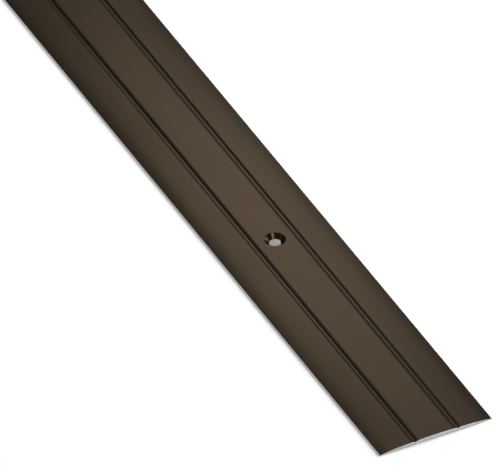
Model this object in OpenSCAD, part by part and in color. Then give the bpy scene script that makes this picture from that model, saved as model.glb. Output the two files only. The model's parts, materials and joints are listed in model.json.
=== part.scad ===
// Floor cover strip: one aluminium extrusion with a low crown, a flat underside, two
// grooves along its length and countersunk screw holes on its centreline.
// The origin is the middle of the underside. X runs along the strip, Y across it,
// and Z up from the floor that it lies on.

/* [Strip] */
// Length from one sawn end to the other
strip_l = 1000; // [600:50:2000]
// Width from one long edge to the other
strip_w = 45; // [42:1:60]
// Height of the crown above the floor
crown_h = 1.6; // [1.6:0.1:3]
// Fall from the middle of the crown to its shoulders
crown_fall = 0.7; // [0.6:0.05:0.8]
// Width of the steeper roll along each long edge
roll_w = 5; // [3:0.5:5]
// Fall from a shoulder to the long edge beside it
roll_fall = 0.7; // [0.6:0.05:0.75]

/* [Grooves] */
// Distance from the centreline to the middle of each groove's bottom
groove_y = 8.6; // [7:0.1:12]
// Width of a groove's bottom
groove_floor_w = 0.7; // [0.3:0.1:1]
// Width of the long curve into a groove on the side of the centreline
groove_inner_w = 1.6; // [1:0.1:2]
// Width of the short slope out of a groove on the side of the long edge
groove_outer_w = 1; // [0.6:0.1:1.5]
// Depth of a groove below the crown
groove_d = 0.36; // [0.3:0.02:0.5]

/* [Screw holes] */
// Number of screw holes
hole_count = 4; // [2:1:7]
// Distance from each sawn end to the nearest hole
hole_inset = 125; // [40:5:150]
// Diameter of a through hole
hole_d = 4.3; // [3.7:0.1:4.7]
// Diameter of a countersink at the crown
sink_d = 8; // [7:0.1:9]
// Height of the straight wall left under each countersink
land_h = 0.25; // [0.2:0.05:0.5]

/* [Hidden] */
$fn = 96;
// Longest chord that the crown and the rolls are drawn with
chord = 1.2;
// Number of chords in the curve into a groove
groove_chords = 5;
// How far a cutting shape stands clear of the surfaces that it passes through
clear = 1;

edge_y = strip_w / 2;
shoulder_y = edge_y - roll_w;
shoulder_h = crown_h - crown_fall;

// The crown is an arc that is level in the middle.
crown_r = (shoulder_y * shoulder_y + crown_fall * crown_fall) / (2 * crown_fall);

// Each roll is an arc that leaves the crown at the crown's own slope there.
shoulder_slope = asin(shoulder_y / crown_r);
roll_r = (roll_w * roll_w + roll_fall * roll_fall)
  / (2 * (roll_fall * cos(shoulder_slope) - roll_w * sin(shoulder_slope)));
roll_y = shoulder_y - roll_r * sin(shoulder_slope);
roll_z = shoulder_h - roll_r * cos(shoulder_slope);

hole_pitch = (strip_l - 2 * hole_inset) / (hole_count - 1);

// Height of the top surface at a distance y from the centreline, grooves left out
function top_at(y) = y <= shoulder_y
  ? crown_h - crown_r + sqrt(crown_r * crown_r - y * y)
  : roll_z + sqrt(roll_r * roll_r - (y - roll_y) * (y - roll_y));

// Points [y, z] of the top surface from a to b, evenly spaced and at most a chord apart
function top_points(a, b) =
  let (count = ceil((b - a) / chord))
  [for (i = [0 : count]) let (y = a + (b - a) * i / count) [y, top_at(y)]];

function mirrored(points) =
  [for (i = [len(points) - 1 : -1 : 0]) [-points[i][0], points[i][1]]];

// The curve into a groove is an arc that leaves the crown without an edge.
groove_r = (groove_inner_w * groove_inner_w + groove_d * groove_d) / (2 * groove_d);
groove_start = groove_y - groove_floor_w / 2 - groove_inner_w;
groove_floor_end = groove_y + groove_floor_w / 2;
function groove_curve_at(t) =
  top_at(groove_start + t) - groove_r + sqrt(groove_r * groove_r - t * t);

// One half of the section, from the centreline out to the long edge and down it
half_section = concat(
  top_points(0, groove_start),
  [for (i = [1 : groove_chords])
    let (t = groove_inner_w * i / groove_chords) [groove_start + t, groove_curve_at(t)]],
  [[groove_floor_end, top_at(groove_floor_end) - groove_d]],
  top_points(groove_floor_end + groove_outer_w, shoulder_y),
  top_points(shoulder_y, edge_y),
  [[edge_y, 0]]
);

module extrusion() {
  translate([-strip_l / 2, 0, 0]) rotate([90, 0, 90])
    linear_extrude(strip_l) polygon(concat(mirrored(half_section), half_section));
}

module screw_hole() {
  sink_h = crown_h - land_h;
  flare = (sink_d - hole_d) / sink_h;
  translate([0, 0, -clear]) cylinder(d = hole_d, h = crown_h + 2 * clear);
  translate([0, 0, land_h])
    cylinder(d1 = hole_d, d2 = sink_d + flare * clear, h = sink_h + clear);
}

module cover_strip() {
  color([0.27, 0.22, 0.17]) difference() {
    extrusion();
    for (i = [0 : hole_count - 1])
      translate([hole_inset - strip_l / 2 + i * hole_pitch, 0, 0]) screw_hole();
  }
}

cover_strip();
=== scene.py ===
"""Looks of a bronze anodised floor cover strip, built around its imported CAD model.

The strip lies along X on a floor at z = 0, with its crown up. Lengths are in metres.
"""

import json
import math

import bmesh
import bpy
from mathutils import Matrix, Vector


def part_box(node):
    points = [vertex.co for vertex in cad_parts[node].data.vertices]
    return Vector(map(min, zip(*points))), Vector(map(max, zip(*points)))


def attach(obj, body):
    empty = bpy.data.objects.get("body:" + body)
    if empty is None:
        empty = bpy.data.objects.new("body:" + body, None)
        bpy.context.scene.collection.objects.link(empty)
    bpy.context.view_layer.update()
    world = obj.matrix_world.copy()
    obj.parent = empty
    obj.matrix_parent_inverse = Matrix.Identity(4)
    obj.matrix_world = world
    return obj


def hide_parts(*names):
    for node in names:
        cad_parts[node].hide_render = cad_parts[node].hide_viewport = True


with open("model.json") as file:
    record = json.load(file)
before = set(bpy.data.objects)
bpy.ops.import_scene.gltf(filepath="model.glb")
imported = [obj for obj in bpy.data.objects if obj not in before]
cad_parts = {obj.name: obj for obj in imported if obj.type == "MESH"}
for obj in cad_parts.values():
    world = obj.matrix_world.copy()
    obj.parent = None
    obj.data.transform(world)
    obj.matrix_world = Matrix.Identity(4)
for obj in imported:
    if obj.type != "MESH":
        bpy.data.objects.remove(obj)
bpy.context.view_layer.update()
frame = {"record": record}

STRIP_LOW, STRIP_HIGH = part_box("cover_strip")
MM = 0.001
UM = 0.001 * MM

# The section, whose outer sizes come from the frame
EDGE_Y = STRIP_HIGH.y
CROWN_H = STRIP_HIGH.z
CROWN_FALL = 0.7 * MM
ROLL_W = 5 * MM
ROLL_FALL = 0.7 * MM
GROOVE_Y = 8.6 * MM
GROOVE_FLOOR_W = 0.7 * MM
GROOVE_INNER_W = 1.6 * MM
GROOVE_OUTER_W = 1.0 * MM
GROOVE_D = 0.36 * MM

# Roundings that an extrusion die leaves
LIP_R = 0.6 * MM
GROOVE_FLOOR_R = 0.2 * MM
TOP_CORNER_R = 0.07 * MM
LOW_CORNER_R = 0.04 * MM
ARC_STEPS = 4
LOOP_GAP = 0.06 * MM
TANGENT_STEP = 1 * MM

# Screw holes
SINK_D = 8 * MM
LAND_H = 0.25 * MM
RIM_ROUND = 0.1 * MM
PATCH = 6 * MM
PATCH_STEPS = 24
BLEND_RINGS = 6
BLEND_CROWDING = 1.3
CONE_RINGS = 7
LAND_RINGS = 2
RIM_ROUNDS = 8

# Mesh spacing and the sawn ends
TOP_STEP = 0.6 * MM
GROOVE_STEP = 0.16 * MM
STATION_STEP = 25 * MM
END_BREAK = 0.04 * MM
END_ROWS = 5
END_STATION = 0.3 * MM
SAW_DEPTH = 0.03 * MM
SAW_SLANT = 0.35

SHARP_ANGLE = math.radians(30)
BRONZE, SAWN, TURNED = 0, 1, 2


# ---- the section ---------------------------------------------------------------------

SHOULDER_Y = EDGE_Y - ROLL_W
CROWN_R = (SHOULDER_Y ** 2 + CROWN_FALL ** 2) / (2 * CROWN_FALL)
SHOULDER_SLOPE = math.asin(SHOULDER_Y / CROWN_R)
ROLL_R = (ROLL_W ** 2 + ROLL_FALL ** 2) / (
    2 * (ROLL_FALL * math.cos(SHOULDER_SLOPE) - ROLL_W * math.sin(SHOULDER_SLOPE))
)
ROLL_Y = SHOULDER_Y - ROLL_R * math.sin(SHOULDER_SLOPE)
ROLL_Z = CROWN_H - CROWN_FALL - ROLL_R * math.cos(SHOULDER_SLOPE)


def top_at(y):
    """Height of the top surface at y, grooves left out."""
    y = abs(y)
    if y <= SHOULDER_Y:
        return CROWN_H - CROWN_R + math.sqrt(CROWN_R ** 2 - y ** 2)
    return ROLL_Z + math.sqrt(ROLL_R ** 2 - (y - ROLL_Y) ** 2)


def spaced(low, high, step):
    """Even values from low to high, both included, no further apart than step."""
    count = max(1, math.ceil((high - low) / step - 1e-6))
    return [low + (high - low) * i / count for i in range(count + 1)]


def rounded_corner(before, corner, after, radius):
    """Points of an arc of that radius in place of a corner of the outline."""
    to_before = (before - corner).normalized()
    to_after = (after - corner).normalized()
    half = to_before.angle(to_after) / 2
    reach = radius / math.tan(half)
    middle = corner + (to_before + to_after).normalized() * radius / math.sin(half)
    start = corner + to_before * reach - middle
    end = corner + to_after * reach - middle
    sweep = start.angle(end)
    points = []
    for i in range(ARC_STEPS + 1):
        t = i / ARC_STEPS
        points.append(
            middle
            + start * (math.sin((1 - t) * sweep) / math.sin(sweep))
            + end * (math.sin(t * sweep) / math.sin(sweep))
        )
    return points


def groove_points():
    """The groove on the +Y side: a long arc in, a narrow bottom and a short slope out."""
    start = GROOVE_Y - GROOVE_FLOOR_W / 2 - GROOVE_INNER_W
    floor_end = GROOVE_Y + GROOVE_FLOOR_W / 2
    outer = floor_end + GROOVE_OUTER_W
    arc_r = (GROOVE_INNER_W ** 2 + GROOVE_D ** 2) / (2 * GROOVE_D)
    points = []
    for t in spaced(0, GROOVE_INNER_W, GROOVE_STEP):
        drop = arc_r - math.sqrt(arc_r ** 2 - t ** 2)
        points.append(Vector((start + t, top_at(start + t) - drop)))
    foot = points.pop()
    floor_corner = Vector((floor_end, top_at(floor_end) - GROOVE_D))
    lip = Vector((outer, top_at(outer)))
    beyond = Vector((outer + TANGENT_STEP, top_at(outer + TANGENT_STEP)))
    points += rounded_corner(points[-1], foot, floor_corner, GROOVE_FLOOR_R)
    points += rounded_corner(foot, floor_corner, lip, GROOVE_FLOOR_R)
    return points + rounded_corner(floor_corner, lip, beyond, LIP_R)


def half_outline():
    """Top and underside points [(y, z)] from the centreline to the +Y edge, in pairs."""
    groove = groove_points()
    groove_start = groove[0].x - LOOP_GAP
    groove_end = groove[-1].x + LOOP_GAP
    half_steps = PATCH_STEPS // 2
    band = [PATCH * i / half_steps for i in range(half_steps + 1)]
    flank = band + spaced(PATCH, groove_start, TOP_STEP)[1:]
    top = [Vector((y, top_at(y))) for y in flank] + groove

    edge = Vector((EDGE_Y, top_at(EDGE_Y)))
    inner_y = EDGE_Y - TANGENT_STEP
    inward = Vector((inner_y, top_at(inner_y)))
    foot = Vector((EDGE_Y, 0))
    corner = rounded_corner(inward, edge, foot, TOP_CORNER_R)
    outer = spaced(groove_end, SHOULDER_Y, TOP_STEP)
    outer += spaced(SHOULDER_Y, corner[0].x - LOOP_GAP, TOP_STEP)[1:]
    top += [Vector((y, top_at(y))) for y in outer]

    under = [Vector((point.x, 0)) for point in top]
    low_corner = rounded_corner(Vector((inner_y, 0)), foot, edge, LOW_CORNER_R)
    return top + corner, under + low_corner


def mirrored(points):
    """The -Y half and the +Y half of a row of points, in order of y."""
    return [Vector((-point.x, point.y)) for point in reversed(points[1:])] + points


# ---- the strip's mesh ----------------------------------------------------------------


def screw_holes():
    """Middle of each hole along X, and the holes' radius, from the record's mounts."""
    places = []
    radius = 0.0
    for mount in frame["record"]["mounts"]:
        if mount["kind"] != "bolt_pattern":
            continue
        half = mount["dims"]["spacing_x_mm"] * MM / 2
        places += [mount["pos_m"][0] - half, mount["pos_m"][0] + half]
        radius = mount["dims"]["hole_r_mm"] * MM
    return sorted(places), radius


def station_places(holes):
    """Places of the cross-sections along X between the sawn ends' own edges."""
    low, high = STRIP_LOW.x + END_BREAK, STRIP_HIGH.x - END_BREAK
    stops = [low, low + END_STATION]
    for hole in holes:
        stops += spaced(stops[-1], hole - PATCH, STATION_STEP)[1:]
        stops += spaced(hole - PATCH, hole + PATCH, 2 * PATCH / PATCH_STEPS)[1:]
    stops += spaced(stops[-1], high - END_STATION, STATION_STEP)[1:]
    return stops + [high]


def square_loop(column, row, size):
    """Grid indices round a square of the given size, anticlockwise from a corner."""
    loop = [(column + i, row) for i in range(size)]
    loop += [(column + size, row + i) for i in range(size)]
    loop += [(column + size - i, row + size) for i in range(size)]
    return loop + [(column, row + size - i) for i in range(size)]


def bridge(mesh, first, second, material):
    """A band of quads between two closed loops of vertices."""
    for i in range(len(first)):
        j = (i + 1) % len(first)
        face = mesh.faces.new((first[i], first[j], second[j], second[i]))
        face.material_index = material


def circle_angle(index, count):
    """Angle that faces a square loop's vertex, counted from its first corner."""
    return math.radians(225) + 2 * math.pi * index / count


class Countersink:
    """The profile of a screw hole: the radius and height of its spots at an angle."""

    def __init__(self, hole_r):
        self.hole_r = hole_r
        self.flare = (SINK_D / 2 - hole_r) / (CROWN_H - LAND_H)

    def edge_radius(self, angle):
        """Radius at which the cone meets the crown, found in a few rounds."""
        radius = SINK_D / 2
        for _ in range(RIM_ROUNDS):
            height = top_at(radius * math.sin(angle))
            radius = self.hole_r + self.flare * (height - LAND_H)
        return radius

    def rim(self, angle, t):
        """A spot on the rim's rounding, from the crown at t = 0 to the cone at t = 1."""
        radius = self.edge_radius(angle)
        outside = radius + RIM_ROUND
        crown = Vector((outside, top_at(outside * math.sin(angle))))
        edge = Vector((radius, top_at(radius * math.sin(angle))))
        down = Vector((self.flare, 1)) * RIM_ROUND / math.hypot(self.flare, 1)
        spot = crown * (1 - t) ** 2 + edge * 2 * t * (1 - t) + (edge - down) * t ** 2
        return spot.x, spot.y

    def cone(self, angle, t):
        """A spot on the cone, from under the rim's rounding at t = 0 to its foot."""
        radius, height = self.rim(angle, 1)
        return radius + (self.hole_r - radius) * t, height + (LAND_H - height) * t

    def land(self, _, t):
        """A spot on the straight wall, from the cone's foot at t = 0 to the underside."""
        return self.hole_r, LAND_H * (1 - t)


def ring(mesh, middle, count, profile, t):
    """A closed loop of vertices at one step t of a hole's profile."""
    loop = []
    for i in range(count):
        angle = circle_angle(i, count)
        radius, height = profile(angle, t)
        x = middle + radius * math.cos(angle)
        loop.append(mesh.verts.new((x, radius * math.sin(angle), height)))
    return loop


def blend_rings(mesh, inner, square, height_at):
    """Loops between a ring and the square round it, each nearer to the square."""
    loops = [inner]
    for step in range(1, BLEND_RINGS):
        t = (step / BLEND_RINGS) ** BLEND_CROWDING
        loop = []
        for a, b in zip(inner, square):
            spot = a.co.lerp(b.co, t)
            loop.append(mesh.verts.new((spot.x, spot.y, height_at(spot.y))))
        loops.append(loop)
    return loops + [square]


def countersunk_hole(mesh, middle, hole_r, top_square, under_square):
    """The rim, cone and short straight wall of one hole, joined to both surfaces."""
    sink = Countersink(hole_r)
    count = len(top_square)
    rim = [ring(mesh, middle, count, sink.rim, i / ARC_STEPS) for i in range(ARC_STEPS + 1)]
    top = blend_rings(mesh, rim[0], top_square, top_at)
    wall = [rim[-1]]
    for i in range(1, CONE_RINGS + 1):
        wall.append(ring(mesh, middle, count, sink.cone, i / CONE_RINGS))
    for i in range(1, LAND_RINGS + 1):
        wall.append(ring(mesh, middle, count, sink.land, i / LAND_RINGS))
    under = blend_rings(mesh, wall[-1], under_square, lambda y: 0)
    for loops, material in ((top, BRONZE), (rim, TURNED), (wall, TURNED), (under, BRONZE)):
        for first, second in zip(loops, loops[1:]):
            bridge(mesh, first, second, material)


def surface_grid(mesh, places, outline, holes, rows_of_band):
    """Vertices of one surface at every station, with the squares round holes left out."""
    first_row, last_row = rows_of_band
    grid = {}
    for column, x in enumerate(places):
        inside = any(abs(x - hole) < PATCH - 1e-7 for hole in holes)
        for row, point in enumerate(outline):
            if inside and first_row < row < last_row:
                continue
            grid[column, row] = mesh.verts.new((x, point.x, point.y))
    return grid


def grid_faces(mesh, grid, columns, rows):
    """Quads wherever all four corners of a grid cell exist and no hole is inside."""
    for column in range(columns - 1):
        for row in range(rows - 1):
            corners = [(column, row), (column + 1, row), (column + 1, row + 1), (column, row + 1)]
            if all(corner in grid for corner in corners):
                face = mesh.faces.new([grid[corner] for corner in corners])
                face.material_index = BRONZE


def edge_faces(mesh, top, under, columns, last_row):
    """The narrow faces that join both surfaces along the two long edges."""
    for column in range(columns - 1):
        for row in (0, last_row):
            mesh.faces.new((
                top[column, row], top[column + 1, row],
                under[column + 1, row], under[column, row],
            ))


def saw_mark(y, z):
    """How far a saw's shallow, slightly slanting marks are cut in at a spot of an end."""
    across = (y + SAW_SLANT * z) / MM
    wave = 0.5 + 0.3 * math.sin(2.3 * across) + 0.2 * math.sin(5.1 * across + 1.3)
    return SAW_DEPTH * wave


def end_rows(mesh, side, top_line, under_line):
    """Rows of vertices of an end's face, from the underside up, with saw marks in it."""
    outer_x = STRIP_HIGH.x if side > 0 else STRIP_LOW.x
    rows = []
    for row in range(END_ROWS + 1):
        t = row / END_ROWS
        line = []
        for high, low in zip(top_line, under_line):
            y = high.x * (1 - END_BREAK / EDGE_Y)
            bottom = low.y + END_BREAK / 2
            z = bottom + (high.y - END_BREAK - bottom) * t
            depth = 0.0 if row in (0, END_ROWS) else saw_mark(y, z)
            line.append(mesh.verts.new((outer_x - side * depth, y, z)))
        rows.append(line)
    return rows


def sawn_end(mesh, side, top, under, top_line, under_line):
    """One sawn end: a broken edge round it, and a face with saw marks inside."""
    rows = end_rows(mesh, side, top_line, under_line)
    pairs = list(zip(rows, rows[1:])) + [(rows[-1], top), (rows[0], under)]
    for near, far in pairs:
        for i in range(len(near) - 1):
            face = mesh.faces.new((near[i], near[i + 1], far[i + 1], far[i]))
            face.material_index = SAWN
    for i in (0, -1):
        column = [line[i] for line in rows]
        face = mesh.faces.new([under[i]] + column + [top[i]])
        face.material_index = SAWN


def shade(mesh):
    """Smooth shading, broken at every edge that is sharper than SHARP_ANGLE."""
    bmesh.ops.recalc_face_normals(mesh, faces=mesh.faces)
    for face in mesh.faces:
        face.smooth = True
    for edge in mesh.edges:
        edge.smooth = edge.calc_face_angle(0) < SHARP_ANGLE


def strip_mesh():
    """The whole strip as one closed mesh: section, holes and sawn ends."""
    holes, hole_r = screw_holes()
    half_top, half_under = half_outline()
    top_line, under_line = mirrored(half_top), mirrored(half_under)
    places = station_places(holes)
    columns, rows = len(places), len(top_line)
    centre_row = len(half_top) - 1
    band = (centre_row - PATCH_STEPS // 2, centre_row + PATCH_STEPS // 2)

    mesh = bmesh.new()
    top = surface_grid(mesh, places, top_line, holes, band)
    under = surface_grid(mesh, places, under_line, holes, band)
    grid_faces(mesh, top, columns, rows)
    grid_faces(mesh, under, columns, rows)
    edge_faces(mesh, top, under, columns, rows - 1)
    for hole in holes:
        column = min(range(columns), key=lambda i: abs(places[i] - (hole - PATCH)))
        loop = square_loop(column, band[0], PATCH_STEPS)
        top_square = [top[spot] for spot in loop]
        under_square = [under[spot] for spot in loop]
        countersunk_hole(mesh, hole, hole_r, top_square, under_square)
    for side, column in ((-1, 0), (1, columns - 1)):
        top_end = [top[column, row] for row in range(rows)]
        under_end = [under[column, row] for row in range(rows)]
        sawn_end(mesh, side, top_end, under_end, top_line, under_line)
    shade(mesh)
    return mesh


# ---- materials -----------------------------------------------------------------------


NOISE_LOW, NOISE_HIGH = 0.3, 0.7   # where most of a noise's values lie
BRONZE_COLOURS = (0.081, 0.0577, 0.0364), (0.091, 0.0645, 0.0407)
TURNED_COLOURS = (0.074, 0.053, 0.033), (0.091, 0.065, 0.041)
SAWN_COLOURS = (0.52, 0.53, 0.57), (0.62, 0.63, 0.67)
FLOOR_COLOURS = (0.87, 0.87, 0.87), (0.89, 0.89, 0.89)


class Nodes:
    """Short calls for making and joining one material's nodes."""

    def __init__(self, name):
        self.material = bpy.data.materials.new(name)
        self.material.use_nodes = True
        self.tree = self.material.node_tree
        self.shader = self.tree.nodes["Principled BSDF"]
        self.place = self.tree.nodes.new("ShaderNodeTexCoord").outputs["Object"]

    def link(self, output, target):
        self.tree.links.new(output, target)

    def noise(self, scale, stretch=(1, 1, 1), detail=3.0):
        """Noise in the object's own metres, closer along an axis that is stretched more."""
        mapping = self.tree.nodes.new("ShaderNodeMapping")
        mapping.inputs["Scale"].default_value = stretch
        self.link(self.place, mapping.inputs["Vector"])
        noise = self.tree.nodes.new("ShaderNodeTexNoise")
        noise.inputs["Scale"].default_value = scale
        noise.inputs["Detail"].default_value = detail
        self.link(mapping.outputs["Vector"], noise.inputs["Vector"])
        return noise.outputs["Fac"]

    def ramp(self, value, low, high):
        """A colour that runs from low to high with a noise's value."""
        ramp = self.tree.nodes.new("ShaderNodeValToRGB")
        ramp.color_ramp.elements[0].position = NOISE_LOW
        ramp.color_ramp.elements[0].color = (*low, 1)
        ramp.color_ramp.elements[1].position = NOISE_HIGH
        ramp.color_ramp.elements[1].color = (*high, 1)
        self.link(value, ramp.inputs["Fac"])
        return ramp.outputs["Color"]

    def remap(self, value, low, high):
        """A number that runs from low to high with a noise's value."""
        remap = self.tree.nodes.new("ShaderNodeMapRange")
        remap.inputs["From Min"].default_value = NOISE_LOW
        remap.inputs["From Max"].default_value = NOISE_HIGH
        remap.inputs["To Min"].default_value = low
        remap.inputs["To Max"].default_value = high
        self.link(value, remap.inputs["Value"])
        return remap.outputs["Result"]

    def bump(self, height, distance, under=None):
        """A bump whose height of 1 stands that distance proud, on top of another one."""
        bump = self.tree.nodes.new("ShaderNodeBump")
        bump.inputs["Distance"].default_value = distance
        bump.inputs["Strength"].default_value = 1.0
        self.link(height, bump.inputs["Height"])
        if under is not None:
            self.link(under, bump.inputs["Normal"])
        return bump.outputs["Normal"]


def bronze_material():
    """Dark bronze anodising: satin, with fine die lines along the strip."""
    nodes = Nodes("bronze_anodised")
    die_lines = nodes.noise(1.0, (14, 3800, 3800), detail=4.0)
    grain = nodes.noise(7000.0, detail=2.0)
    cloud = nodes.noise(1.0, (16, 70, 70), detail=2.0)
    shader = nodes.shader
    shader.inputs["Metallic"].default_value = 1.0
    nodes.link(nodes.ramp(cloud, *BRONZE_COLOURS), shader.inputs["Base Color"])
    nodes.link(nodes.remap(die_lines, 0.26, 0.31), shader.inputs["Roughness"])
    lines = nodes.bump(die_lines, 0.5 * UM)
    nodes.link(nodes.bump(grain, 0.4 * UM, under=lines), shader.inputs["Normal"])
    return nodes.material


def sawn_material():
    """Bare aluminium with the close, slightly slanting lines of a saw cut."""
    nodes = Nodes("sawn_aluminium")
    cut_lines = nodes.noise(1.0, (400, 5200, 900), detail=3.0)
    smear = nodes.noise(900.0, detail=2.0)
    shader = nodes.shader
    shader.inputs["Metallic"].default_value = 1.0
    nodes.link(nodes.ramp(smear, *SAWN_COLOURS), shader.inputs["Base Color"])
    nodes.link(nodes.remap(cut_lines, 0.38, 0.56), shader.inputs["Roughness"])
    nodes.link(nodes.bump(cut_lines, 12 * UM), shader.inputs["Normal"])
    return nodes.material


def turned_material():
    """The anodised countersinks: the same bronze, with a cutter's fine rings."""
    nodes = Nodes("turned_bronze")
    rings = nodes.tree.nodes.new("ShaderNodeTexWave")
    rings.wave_type = "BANDS"
    rings.bands_direction = "Z"
    rings.inputs["Scale"].default_value = 2600.0
    rings.inputs["Distortion"].default_value = 1.5
    nodes.link(nodes.place, rings.inputs["Vector"])
    chatter = nodes.noise(1500.0, detail=2.0)
    shader = nodes.shader
    shader.inputs["Metallic"].default_value = 1.0
    nodes.link(nodes.ramp(chatter, *TURNED_COLOURS), shader.inputs["Base Color"])
    nodes.link(nodes.remap(chatter, 0.14, 0.20), shader.inputs["Roughness"])
    nodes.link(nodes.bump(rings.outputs["Fac"], 1.5 * UM), shader.inputs["Normal"])
    return nodes.material


def floor_material():
    """Plain pale floor with a barely visible tooth."""
    nodes = Nodes("pale_floor")
    tooth = nodes.noise(40.0, detail=2.0)
    shader = nodes.shader
    nodes.link(nodes.ramp(tooth, *FLOOR_COLOURS), shader.inputs["Base Color"])
    shader.inputs["Roughness"].default_value = 0.9
    shader.inputs["Specular IOR Level"].default_value = 0.1
    return nodes.material


# ---- pieces, floor, camera and lights ------------------------------------------------

FLOOR_HALF = 4.0
FLOOR_GAP = 0.03 * MM

CAMERA_AZIMUTH = math.radians(62.63)
CAMERA_ELEVATION = math.radians(38.75)
CAMERA_DISTANCE = 7.2
VIEW_WIDTH = 0.1770
END_RIGHT_OF_MIDDLE = 0.0672
END_BELOW_MIDDLE = 0.0719

WORLD_LIGHT = 0.07


def cover_strip():
    """The strip in finished form, in place of its CAD node."""
    data = bpy.data.meshes.new("cover_strip_skin")
    mesh = strip_mesh()
    mesh.to_mesh(data)
    mesh.free()
    for make in (bronze_material, sawn_material, turned_material):
        data.materials.append(make())
    piece = bpy.data.objects.new("cover_strip_skin", data)
    bpy.context.scene.collection.objects.link(piece)
    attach(piece, "root")
    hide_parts("cover_strip")


def floor():
    """A plain pale floor just under the strip."""
    data = bpy.data.meshes.new("floor")
    half = FLOOR_HALF
    corners = [(-half, -half), (half, -half), (half, half), (-half, half)]
    data.from_pydata([(x, y, -FLOOR_GAP) for x, y in corners], [], [(0, 1, 2, 3)])
    data.materials.append(floor_material())
    plane = bpy.data.objects.new("floor", data)
    bpy.context.scene.collection.objects.link(plane)


def camera_axes():
    """Unit vectors to the camera, to its right and up its picture."""
    a, e = CAMERA_AZIMUTH, CAMERA_ELEVATION
    back = Vector((math.sin(a) * math.cos(e), -math.cos(a) * math.cos(e), math.sin(e)))
    right = Vector((math.cos(a), math.sin(a), 0))
    return back, right, back.cross(right)


def view_target():
    """The spot at the middle of the picture, found from the near end of the strip."""
    _, right, up = camera_axes()
    end = Vector((STRIP_HIGH.x, 0, CROWN_H))
    return end - right * END_RIGHT_OF_MIDDLE + up * END_BELOW_MIDDLE


def floor_middle():
    """The spot on the floor at the middle of the picture, which the lights face."""
    back, _, _ = camera_axes()
    target = view_target()
    return target - back * (target.z / back.z)


def camera():
    """A long lens that looks down along the strip from its near end."""
    data = bpy.data.cameras.new("camera")
    data.sensor_width = 36
    data.lens = data.sensor_width * CAMERA_DISTANCE / VIEW_WIDTH
    data.clip_start, data.clip_end = 0.1, 50
    back, _, _ = camera_axes()
    item = bpy.data.objects.new("camera", data)
    item.location = view_target() + back * CAMERA_DISTANCE
    item.rotation_mode = "QUATERNION"
    item.rotation_quaternion = (-back).to_track_quat("-Z", "Y")
    bpy.context.scene.collection.objects.link(item)
    bpy.context.scene.camera = item


def softbox(name, azimuth, elevation, distance, size, power):
    """A rectangular area light that faces the floor in the middle of the picture.

    Azimuth 0 is +X and 90 is +Y, in degrees, and elevation is above the floor.
    """
    a, e = math.radians(azimuth), math.radians(elevation)
    direction = Vector((math.cos(a) * math.cos(e), math.sin(a) * math.cos(e), math.sin(e)))
    data = bpy.data.lights.new(name, "AREA")
    data.shape = "RECTANGLE"
    data.size, data.size_y = size
    data.energy = power
    lamp = bpy.data.objects.new(name, data)
    lamp.location = floor_middle() + direction * distance
    lamp.rotation_mode = "QUATERNION"
    lamp.rotation_quaternion = (-direction).to_track_quat("-Z", "Y")
    lamp.visible_camera = False
    bpy.context.scene.collection.objects.link(lamp)


def lights():
    """Soft studio light.

    Four back boxes stand where the crown mirrors them, so their overlap makes its
    broad highlight. The panels stand where it doesn't: they light the floor, and the
    two low side panels draw the soft shadow along the -Y edge. The high box makes the
    light streak on the countersink's wall.
    """
    azimuth = math.degrees(CAMERA_AZIMUTH) + 90
    elevation = math.degrees(CAMERA_ELEVATION)
    softbox("back_wide", azimuth, elevation, 0.7, (0.45, 0.45), 0.158)
    softbox("back_high", azimuth, elevation + 4.2, 0.5, (0.2, 0.2), 0.046)
    softbox("back_side", azimuth - 6.6, elevation - 1.8, 0.5, (0.2, 0.2), 0.040)
    softbox("back_near", azimuth, elevation, 0.35, (0.12, 0.12), 0.0148)
    softbox("side_low", 90, 8, 2.5, (1, 0.35), 180)
    softbox("side_mid", 90, 13.5, 2.5, (1, 0.35), 113)
    softbox("front_panel", -90, 30, 3, (3.5, 1.8), 43)
    softbox("overhead", 180, 80, 3, (2, 2), 8.8)
    softbox("high", 18, 65, 2.5, (0.7, 0.7), 3.4)
    world = bpy.data.worlds.new("studio")
    world.use_nodes = True
    background = world.node_tree.nodes["Background"]
    background.inputs["Color"].default_value = (1, 1, 1, 1)
    background.inputs["Strength"].default_value = WORLD_LIGHT
    bpy.context.scene.world = world


camera()
cover_strip()
floor()
lights()
bpy.context.scene.view_settings.view_transform = "Standard"
